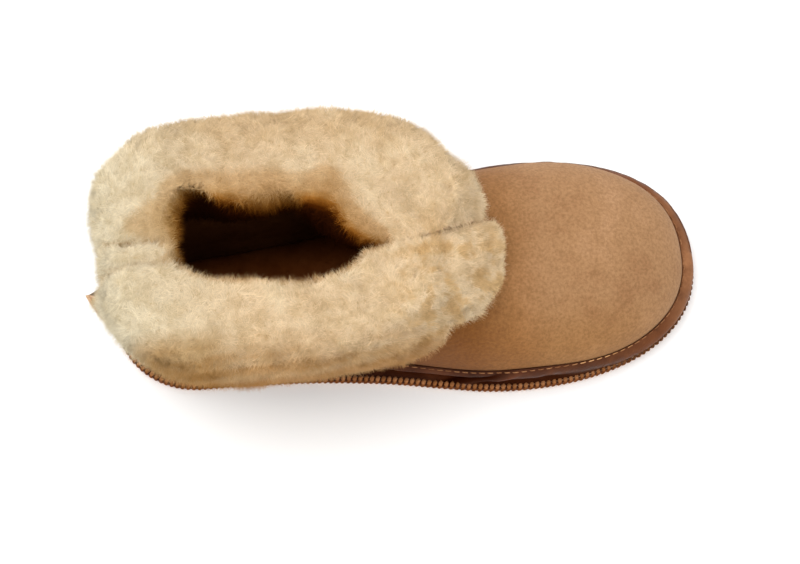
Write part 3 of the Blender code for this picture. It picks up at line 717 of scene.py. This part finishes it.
def rand_places(turn):
    """Heights and shares out of the rand for each turn, from its lower edge to its upper one, and the
    height of the pleat's crease."""
    sections = (RAND_SECTION, RAND_OVERHANG, RAND_TOE, RAND_NECK)
    tables = [resample(np.array(rows)[None], RAND_ROWS)[0] for rows in sections]
    toe = eased((np.abs(turn) - TOE_FROM) / TOE_OVER)
    narrow = (1 - eased((turn - NECK_FROM) / (NECK_TO - NECK_FROM))) * (turn > 0)
    up, fold = pleat_fold(turn)
    heel = eased(turn / 0.06)
    keep = (1 - eased(fold + 0.5)) * heel
    blended = []
    for k in (0, 1):
        plain, over, bulged, neck = (table[:, k : k + 1] for table in tables)
        rest = (plain * (1 - toe) + bulged * toe) * (1 - narrow * heel) + neck * narrow * heel
        blended.append(rest * (1 - keep) + over * keep)
    z, out = blended
    z = z + np.maximum(z - LEDGE_TOP, 0) * (by_side(RAND_TALL, turn) - 1) * TALL_REACH
    out[-1] = -0.035
    crease = 0.9 * np.exp(-((fold - 0.75) ** 2) / 0.15) - 1.1 * np.exp(-((fold + 0.1) ** 2) / 0.12)
    return z, out, crease * np.sin(np.pi * up) ** 0.6 * above_ledge(up)


def rand_shade(turn):
    """Painted shade in the recess, on the ledge, in the fold by the suede and in the pleat, and a painted
    highlight.
    """
    up, fold = pleat_fold(turn)
    keep = np.clip(0.5 - fold, 0, 1)
    # Painted shade in the recess under the band's edge, and under the band on the way to the toe.
    recess = bell((up - 0.41) / 0.26, 6) * keep * (0.50 + 0.25 * eased((up - 0.32) / 0.2))
    under = bell((up - 0.37) / 0.24, 4) * (1 - keep) * np.clip((0.76 - turn) / 0.10, 0, 1)
    # Painted shade on the ledge between the whip stitches.
    ledge = bell(up / 0.15, 4)
    # Painted shade in the pleat's crease.
    pleat = np.exp(-((fold + 0.1) ** 2) / 0.22) * np.sin(np.pi * up) ** 0.5
    # Painted shade in the fold against the suede, with the dark of the leather's cut edge.
    edge = np.clip((up - 0.968) / 0.02, 0, 1)
    # Painted highlight on the pleat's ridge.
    pleat_highlight = bell((fold - 0.85) / 0.30) * np.sin(np.pi * up) ** 0.6
    dark = (1 - recess) * (1 - 0.60 * under) * (1 - 0.80 * pleat) * (1 - 0.62 * edge) * (1 - 0.45 * ledge)
    return dark * (1 + 0.9 * pleat_highlight)


def rand_points(turn, z, out):
    level = level_at(z * MM)
    turns = np.broadcast_to(turn, level.shape)
    normal, _ = upper_frame(turns, level)
    inner = upper(turns, level) + normal * GAP
    edge = outline(turns, 0.0)
    edge[..., 2] = inner[..., 2]
    return inner + (edge - inner) * out[..., None]


def make_rand():
    turn, _, _, _ = even_turns(0.0, 1.1 * MM)
    z, out, crease = rand_places(turn)
    grid = rand_points(turn, z, out)
    normal = -grid_normals(grid)
    wrinkle = noise(grid * np.array([1, 1, 0.6]), 7 * MM, 3) * 0.28 + noise(grid, 2.6 * MM, 4) * 0.10
    up = np.linspace(0, 1, len(grid))[:, None]
    weight = np.sin(np.pi * up) ** 0.5 * above_ledge(up)
    grid = grid + normal * ((wrinkle * weight + crease) * MM)[..., None]
    back = [rand_points(turn, np.full(len(turn), z), np.zeros(len(turn))) for z in (13.0, 8.0, 3.4)]
    grid = np.concatenate([grid, np.stack(back)])
    faces = grid_faces(grid.shape[0], grid.shape[1], wrap_rows=True)
    rand = add_mesh("rand_band", grid, faces, [RAND])
    # The band takes the painted shade of rand_shade.
    paint(rand, np.concatenate([rand_shade(turn), np.ones((3, len(turn)))]))
    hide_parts("rand")


def stitch_row(name, height, pitch, length, thick, lift, materials):
    """A row of running stitches along the rand at a share of its height."""
    turn, _, along, _ = even_turns(6.5 * MM, pitch)
    z, out, crease = rand_places(turn)
    grid = rand_points(turn, z, out)
    normal = -grid_normals(grid)
    row = int(height * (len(grid) - 1))
    at = grid[row] + normal[row] * ((crease[row] + lift) * MM)[:, None]
    path = ((-0.5, -0.45), (-0.32, 0.05), (0.0, 0.2), (0.32, 0.05), (0.5, -0.45))
    centres = np.stack([at + along * (s * length) + normal[row] * (h * MM) for s, h in path], 1)
    points, faces = tubes(centres, np.array([0.6, 0.95, 1.0, 0.95, 0.6]) * thick, normal[row])
    stitches = add_mesh(name, points, faces, materials)


# -------- upper and inside
UPPER_AROUND, UPPER_ROWS = 300, 90
INSOLE_LOW, INSOLE_HIGH, INSOLE_ROUNDED = 3.4 * MM, 10.0 * MM, 2.4 * MM


def make_upper():
    turns = round_turns(UPPER_AROUND)
    levels = np.linspace(0, 1, UPPER_ROWS)
    outside = upper(turns, levels[:, None])
    normal, _ = upper_frame(turns, levels[:, None])
    soft = noise(outside, 38 * MM, 1) * 0.5 + noise(outside, 16 * MM, 2) * 0.18
    outside = outside + normal * (soft * MM * np.clip((outside[..., 2] - 0.017) / 0.012, 0, 1))[..., None]
    inside = upper(turns, levels[::-1, None]) - normal[::-1] * SKIN_THICKNESS
    grid = np.concatenate([outside, inside])
    faces = grid_faces(len(grid), len(turns), wrap_rows=True)
    row = np.repeat(np.arange(len(grid)), len(turns))
    shell = add_mesh("upper_shell", grid, faces, [SUEDE, LINING], kind=row >= UPPER_ROWS)
    paint(shell, 1.0)
    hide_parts("upper")


def make_insole():
    shares = np.linspace(0, 1, 14) ** 0.7
    turn = round_turns(160)
    inset = SKIN_THICKNESS + GAP
    edge = feather(turn, 0.0, inset)
    centre = edge * np.array([0.75, 0.0, 0.0])
    rows = [feather(turn, INSOLE_LOW, inset)]
    for s in shares[::-1]:
        p = centre + (edge - centre) * s
        p[:, 2] = INSOLE_HIGH - INSOLE_ROUNDED * s**6 + 0.5 * MM * noise(p, 9 * MM, 5)
        rows.append(p)
    points = np.concatenate(rows)
    n = len(turn)
    faces = grid_faces(len(rows), n) + [list(range(n))[::-1]]
    pad = add_mesh("insole_sock", points, faces, [SOCK])
    # Painted shade: darker on the left, under the far wall.
    paint(pad, 0.18 + 0.92 * eased((0.034 - points[:, 1]) / 0.024))
    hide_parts("insole")


def fibres(name, roots, normals, naps, upright, lengths, widths, seed, down, inside):
    """Many thin tapering fibres of wool in one mesh: three-sided spikes, lit much as the fleece below."""
    rng = np.random.default_rng(seed)
    n = len(roots)
    lie = naps + rng.normal(0, 0.30, (n, 3))
    lie = unit(lie - normals * (lie * normals).sum(-1, keepdims=True))
    aim = unit(normals * upright[:, None] + lie)
    side = unit(np.cross(aim, np.cross(normals, lie)))
    over = np.cross(aim, side)
    angle = np.array([0.5, 7 / 6, 11 / 6]) * np.pi
    radial = side[:, None] * np.cos(angle)[:, None] + over[:, None] * np.sin(angle)[:, None]
    feet = roots[:, None] + radial * (widths / 2)[:, None, None]
    points = np.concatenate([feet, (roots + aim * lengths[:, None])[:, None]], 1)
    local = np.array([[0, 1, 3], [1, 2, 3], [2, 0, 3]])
    faces = (local + (np.arange(n) * 4)[:, None, None]).reshape(-1, 3).tolist()
    thing = add_mesh(name, points, faces, [WOOL], closed=False)
    around = np.concatenate([radial, aim[:, None]], 1)
    blend = unit(around * (1 - LIT_AS_FLEECE) + normals[:, None] * LIT_AS_FLEECE)
    thing.data.normals_split_custom_set_from_vertices(blend.reshape(-1, 3).tolist())
    # A fibre's tip takes the collar's painted shade from where it reaches.
    reached = np.minimum(inside((aim * unit(down)).sum(-1) * lengths), inside(0.0) + TIP_DEEPER_SHADE)
    brown = np.stack([inside(0.0)] * 3 + [reached], 1)
    # Painted shade at each root, painted light at each tip, times a random tone for each fibre.
    paint(thing, rng.uniform(0.90, 1.08, (n, 1)) * np.array([ROOT_PAINTED_SHADE] * 3 + [TIP_PAINTED_LIGHT]), brown)
    thing.visible_shadow = False
    return thing


def scatter(grid, count, seed):
    """Random places on a grid surface, evenly by area: points, normals and the direction along rows."""
    rng = np.random.default_rng(seed)
    a = grid[1:, :-1] - grid[:-1, :-1]
    b = grid[:-1, 1:] - grid[:-1, :-1]
    area = np.linalg.norm(np.cross(a, b), axis=-1).ravel()
    cell = rng.choice(len(area), count, p=area / area.sum())
    i, j = cell // (grid.shape[1] - 1), cell % (grid.shape[1] - 1)
    u, v = rng.random((2, count, 1))
    normals = grid_normals(grid)

    def between(values):
        low = values[i, j] * (1 - u) + values[i + 1, j] * u
        high = values[i, j + 1] * (1 - u) + values[i + 1, j + 1] * u
        return low * (1 - v) + high * v

    down = np.gradient(grid, axis=1)
    return between(grid), unit(between(normals)), unit(between(down)), i + u[:, 0], j + v[:, 0]


def end_fall(turns):
    back = rounding(1 - (turns - STRIP_TURN) / END_TURN, 2)
    front = rounding(1 - (1 - turns) / END_TURN, 2)
    return (END_WOOL_BACK + (1 - END_WOOL_BACK) * back) * (END_WOOL_FRONT + (1 - END_WOOL_FRONT) * front)


PILE = 3.2 * MM  # how much of the wool's thickness is left to the separate fibres
HAIR_SHARE = 0.45  # upright hairs for each fibre of the pile
# Painted shade at the fibres' roots and on the fleece under them, painted light at their tips.
ROOT_PAINTED_SHADE, TIP_PAINTED_LIGHT = 0.76, 1.06
LIT_AS_FLEECE = 0.75
TIP_DEEPER_SHADE = 0.35  # how much deeper in the collar's painted shade a fibre's tip may be than its root
SEAM_SHADE, SEAM_REACH = 0.22, 0.007  # painted shade along where a half meets the back strip
RIGHT_SHADE_OVER = 0.11  # share of the section over which the right half's painted collar shade grows to its darkest
# Turn, share of the section where the collar's painted shade starts, on the right and on the left, and
# where it is darkest on the left.
COLLAR_SHADE_PLACES = (
    (0.0, 0.8, 0.77, 0.88), (0.035, 0.81, 0.7, 0.92), (0.07, 0.8, 0.62, 0.93), (0.1, 0.8, 0.61, 0.94),
    (0.14, 0.795, 0.63, 0.93), (0.2, 0.79, 0.655, 0.9), (0.26, 0.79, 0.62, 0.86), (0.32, 0.785, 0.6, 0.84),
    (0.38, 0.785, 0.605, 0.87), (0.44, 0.785, 0.61, 0.94), (0.52, 0.785, 0.61, 0.96),
    (0.555, 0.785, 0.62, 0.93), (0.595, 0.785, 0.635, 0.79), (0.66, 0.785, 0.61, 0.77),
    (0.72, 0.785, 0.66, 0.83), (0.8, 0.785, 0.71, 0.86), (1.0, 0.785, 0.74, 0.88),
)
AROUND_CUFF, DOWN_CUFF = 210, 130
AROUND_STRIP, DOWN_STRIP = 30, 110
CUFF_FIBRES, STRIP_FIBRES = 62000, 4200
CREST = 0.60  # share of the section at the top of the fold
LUMPS = ((15, 0.9, 11), (6, 0.35, 12), (2.7, 0.12, 13))  # size in mm, height in mm, seed
FRONT_LUMPS = (6.5, 1.2, 14)  # more of them at the front of the right half
FRONT_LUMPS_FROM, FRONT_LUMPS_OVER = 0.62, 0.12
EVEN_ROWS = 8  # rows at each end over which the lumps fade
# Soft troughs and ridges of each half: turn, share of the section, reach of each, height in mm.
NEAR_CREASES = (
    (0.3, 0.155, 0.16, 0.03, -1.6), (0.42, 0.085, 0.14, 0.022, -1.2), (0.24, 0.235, 0.1, 0.03, 0.9),
    (0.8, 0.33, 0.03, 0.11, -1.5), (0.7, 0.15, 0.035, 0.07, -1.3), (0.58, 0.21, 0.07, 0.05, 0.8),
    (0.36, 0.4, 0.12, 0.035, -0.8), (0.9, 0.2, 0.03, 0.08, 0.9),
)
FAR_CREASES = (
    (0.22, 0.47, 0.02, 0.09, -1.3), (0.34, 0.64, 0.03, 0.06, -1.6), (0.62, 0.61, 0.05, 0.05, -1.2),
    (0.46, 0.5, 0.12, 0.04, 0.8), (0.52, 0.2, 0.15, 0.04, -1.2), (0.8, 0.42, 0.04, 0.08, -0.8),
)


def relief(turns, shares, creases):
    total = np.zeros((len(turns), len(shares)))
    for turn, share, wide, tall, height in creases:
        around = bell((turns - turn) / wide)[:, None]
        total += height * around * bell((shares - share) / tall)
    return total


# How deep a place is in the painted shade inside the collar and along the seams.
def depth_in_collar_shade(turn, side, share):
    first = smooth(COLLAR_SHADE_PLACES, turn, side)
    last = smooth(COLLAR_SHADE_PLACES, turn, 3) if side == 2 else first + RIGHT_SHADE_OVER
    seam = SEAM_SHADE * bell((turn - STRIP_TURN) / SEAM_REACH)
    return np.clip(np.maximum((share - first) / (last - first), seam), 0, 1)


def swing(points, sign):
    """Keeps a half on its own side of the front slit, which swings to the left at the flaps' end."""
    x, y = points[..., 0], -sign * np.maximum(-sign * points[..., 1], GAP / 2)
    moved = points.copy()
    swung = SLIT_SWING * eased((x - SLIT_FROM) / (SLIT_TO - SLIT_FROM))
    moved[..., 1] = y + swung * bell(y / SLIT_REACH)
    return moved


# How far the right half's back corner is drawn in behind the heel, and how far round and up that goes.
CORNER = np.array([-2.4, 4.8, 0.0]) * MM
CORNER_TURN, CORNER_SHARE = 0.11, 0.16


def corner_swing(grid, turns, shares):
    along = eased(1 - (turns - STRIP_TURN) / (CORNER_TURN - STRIP_TURN))[:, None]
    return grid + (along * eased(1 - shares / CORNER_SHARE))[..., None] * CORNER


def make_cuff_half(name, side):
    """One half of the cuff, side 1 on the right or 2 on the left: fleece, skin, cut edge and fibres."""
    sign = 1 if side == 1 else -1
    turns = STRIP_TURN + (1 - STRIP_TURN) * np.linspace(0, 1, AROUND_CUFF)
    fall = end_fall(turns)
    wool = smooth(FLAP, turns, side + 2) * fall
    flare, thinner, shorter = (smooth(EDGE, turns, k) * (sign > 0) for k in (1, 2, 3))
    depth = smooth(FLAP, turns, side) - shorter
    controls, sides = wool_controls(sign * turns, depth, wool, TOP_WOOL * fall, PILE, flare, thinner)
    grid = resample(controls, DOWN_CUFF)
    normal = grid_normals(grid) * sign
    lumps = sum(noise(grid, size * MM, seed) * high for size, high, seed in LUMPS)
    lumps += relief(turns, np.linspace(0, 1, DOWN_CUFF), NEAR_CREASES if sign > 0 else FAR_CREASES)
    if sign > 0:
        size, high, seed = FRONT_LUMPS
        front = eased((turns - FRONT_LUMPS_FROM) / FRONT_LUMPS_OVER)[:, None]
        lumps += noise(grid, size * MM, seed) * high * front
        grid = corner_swing(grid, turns, np.linspace(0, 1, DOWN_CUFF))
    place = np.arange(AROUND_CUFF)
    ends = np.clip(np.minimum(place, AROUND_CUFF - 1 - place) / EVEN_ROWS, 0, 1)[:, None]
    grid = swing(grid + normal * (lumps * MM * ends)[..., None], sign)
    shares = (1.0, 0.75, 0.5, 0.25)
    skin = [sides.below(depth * share, STAND_OFF + 0.2 * MM + flare * share**FLARE_POWER) for share in shares]
    out, up = upper_frame(sign * turns, np.ones_like(turns))
    top = upper(sign * turns, np.ones_like(turns))
    skin.append(top + out * 2 * MM + up * GAP)
    skin.append(top - out * (SKIN_THICKNESS + 0.6 * MM) + up * GAP)
    skin.append(sides.below(INSIDE_DEPTH, -SKIN_THICKNESS - COVER_GAP))
    skin = np.stack(skin, 1)
    if sign > 0:
        skin = corner_swing(skin, turns, np.array([0.0, 0.06, 0.12, 0.16, 1, 1, 1]))
    loop = np.concatenate([grid, swing(skin[:, ::-1], sign)], 1)
    rows, columns = loop.shape[:2]
    kind = np.append(np.tile(np.arange(columns), rows - 1) >= DOWN_CUFF + 2, [True, True])
    body = add_mesh(name + "_fleece", loop, closed_faces(rows, columns), [WOOL, SKIN], kind)
    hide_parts(name)
    shares = np.arange(columns) / (DOWN_CUFF - 1)
    # The fleece takes the roots' painted shade and the collar's painted shade.
    paint(body, ROOT_PAINTED_SHADE, depth_in_collar_shade(turns[:, None], side, shares))
    make_pile(name, grid, CUFF_FIBRES, sign, 20 + side, turns, side)
    make_skin_edge(name + "_skin_edge", sides, depth, flare, sign, turns)


def make_skin_edge(name, sides, depth, flare, sign, turns):
    """The cut edge of the sheepskin, all along the bottom of the flap."""
    corners = ((1.00, 0.1), (1.022, 0.2), (1.026, 1.1), (1.012, 1.9), (0.985, 1.9))
    section = [sides.below(depth * share, STAND_OFF + flare + out * MM) for share, out in corners]
    loop = np.stack(section, 1)
    if sign > 0:
        loop = corner_swing(loop, turns, np.zeros(len(corners)))
    ragged = noise(loop, 4 * MM, 31)[..., None] * np.array([0.2, 0.2, 0.25]) * MM
    loop = swing(loop + ragged, sign)
    edge = add_mesh(name, loop, closed_faces(*loop.shape[:2]), [SKIN])


def make_pile(name, grid, count, sign, seed, turns, side):
    """The wool's fibres over the fleece: a dense pile that lies over itself, then sparse upright hairs."""
    # Kind, how many, length and its spread in mm, width in mm from and to, uprightness from and to.
    layers = (
        ("pile", count, 4.8, 0.9, (0.26, 0.52), (0.30, 1.10)),
        ("hair", int(count * HAIR_SHARE), 6.0, 1.2, (0.13, 0.24), (0.8, 2.2)),
    )
    for layer, (kind, number, length, unequal, wide, rise) in enumerate(layers):
        start = seed + 100 * layer
        points, normals, down, row, place = scatter(grid, number, start)
        normals = normals * sign
        rng = np.random.default_rng(start + 50)
        share = place / (grid.shape[1] - 1)
        turn = np.abs(np.interp(row, np.arange(len(turns)), turns))
        run = np.linalg.norm(np.diff(grid, axis=1), axis=-1).sum(1).mean()
        outer = np.clip((CREST - share) / 0.25, -1, 1)[:, None]
        swirl = np.stack([noise(points, 3.0 * MM, start + k) for k in (1, 2, 3)], -1)
        wide_swirl = np.stack([noise(points, 11 * MM, start + k) for k in (4, 5, 6)], -1)
        naps = -down * outer * 0.35 + swirl * 0.9 + wide_swirl * 0.6
        lengths = (length + unequal * noise(points, 4 * MM, start + 9) + rng.normal(0, 0.35, number)) * MM
        lengths = np.clip(lengths, 2.2 * MM, 8.0 * MM) * np.clip(0.45 + share * 5, 0, 1)
        roots = points - normals * 0.5 * MM
        upright, widths = rng.uniform(*rise, number), rng.uniform(*wide, number) * MM
        made = fibres(
            name + "_" + kind, roots, normals, naps, upright, lengths, widths, start + 7, down,
            lambda reach: depth_in_collar_shade(turn, side, share + reach / run),
        )


def make_back_strip():
    edge = STRIP_TURN - SEAM_TURN
    turns = np.linspace(-edge, edge, AROUND_STRIP)
    bulge = END_WOOL_BACK + STRIP_BULGE * rounding(np.abs(turns) / edge, 2)
    _, deep, _, thick, _ = FLAP[0]
    depth = np.full(AROUND_STRIP, deep)
    controls, sides = wool_controls(turns, depth, thick * bulge, TOP_WOOL * bulge, PILE * 0.6)
    grid = resample(controls, DOWN_STRIP)
    grid += grid_normals(grid) * (noise(grid, 3 * MM, 15) * 0.3 * MM)[..., None]
    behind = -SKIN_THICKNESS - COVER_GAP
    lining = ((deep, STAND_OFF), (0.0, 1 * MM), (0.0, behind), (INSIDE_DEPTH, behind))
    inner = np.stack([sides.below(*place) for place in lining], 1)
    loop = np.concatenate([grid, inner[:, ::-1]], 1)
    body = add_mesh("back_strip_fleece", loop, closed_faces(*loop.shape[:2]), [WOOL])
    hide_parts("back_strip")
    shares = np.arange(loop.shape[1]) / (DOWN_STRIP - 1)
    # The fleece takes the roots' painted shade and the collar's painted shade.
    paint(body, ROOT_PAINTED_SHADE, depth_in_collar_shade(np.abs(turns)[:, None], 2, shares))
    make_pile("back_strip", grid, STRIP_FIBRES, 1, 40, turns, 2)


# -------- stage
# Name, place, size and power of each light.
LIGHTS = (
    ("key", (-1.3, 1.1, 2.0), (2.8, 2.8), 40),
    ("fill", (1.2, -1.4, 1.6), (2.4, 2.0), 8),
    ("top", (0.0, 0.1, 2.6), (3.0, 3.0), 20),
)


def put(name, data, place, aim):
    """A light or camera at a place, turned to look at another."""
    thing = bpy.data.objects.new(name, data)
    thing.location = place
    thing.rotation_euler = (Vector(aim) - Vector(place)).to_track_quat("-Z", "Y").to_euler()
    SCENE.collection.objects.link(thing)
    return thing


def make_stage():
    """A pale floor, three soft lights and an even white studio round them."""
    bpy.ops.mesh.primitive_plane_add(size=8.0, location=(0, 0, -FLOOR_DROP))
    floor = bpy.context.object
    floor.name = "floor"
    look = Look("pale_floor", 0.9, Specular_IOR_Level=0.1, Base_Color=(0.96, 0.96, 0.955, 1))
    floor.data.materials.append(look.material)
    for name, place, size, power in LIGHTS:
        light = bpy.data.lights.new(name, "AREA")
        light.shape = "RECTANGLE"
        light.size, light.size_y = size
        light.energy = power
        put(name, light, place, (0, 0, 0.03))
    world = bpy.data.worlds.new("studio")
    world.use_nodes = True
    background = world.node_tree.nodes["Background"]
    background.inputs["Color"].default_value = (1, 1, 1, 1)
    background.inputs["Strength"].default_value = 1.0
    SCENE.world = world
    SCENE.view_settings.view_transform = "Standard"


def make_camera():
    """Seen from high above the right side, a little behind."""
    azimuth, elevation, distance = math.radians(-7.61), math.radians(70.0), 1.45
    floor_point = Vector((0.00945, 0.06539, 0.0))
    level = math.cos(elevation)
    back = Vector((math.sin(azimuth) * level, -math.cos(azimuth) * level, math.sin(elevation)))
    camera = bpy.data.cameras.new("camera")
    camera.sensor_width = 36
    camera.lens = 129.84
    camera.clip_end = 20
    SCENE.camera = put("camera", camera, floor_point + back * distance, (-0.003, -0.004, 0.030))


make_sole()
make_whip_stitches()
make_rand()
stitch_row("rand_topstitch", 0.945, 4.1 * MM, 3.1 * MM, 0.30 * MM, 0.08, [TOP_THREAD])
stitch_row("flange_stitch", 0.20, 2.7 * MM, 1.5 * MM, 0.28 * MM, 0.1, [DULL_THREAD])
make_upper()
make_insole()
make_cuff_half("cuff_near", 1)
make_cuff_half("cuff_far", 2)
make_back_strip()
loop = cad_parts["heel_loop"]
loop.data.materials.clear()
loop.data.materials.append(THONG)
make_stage()
make_camera()
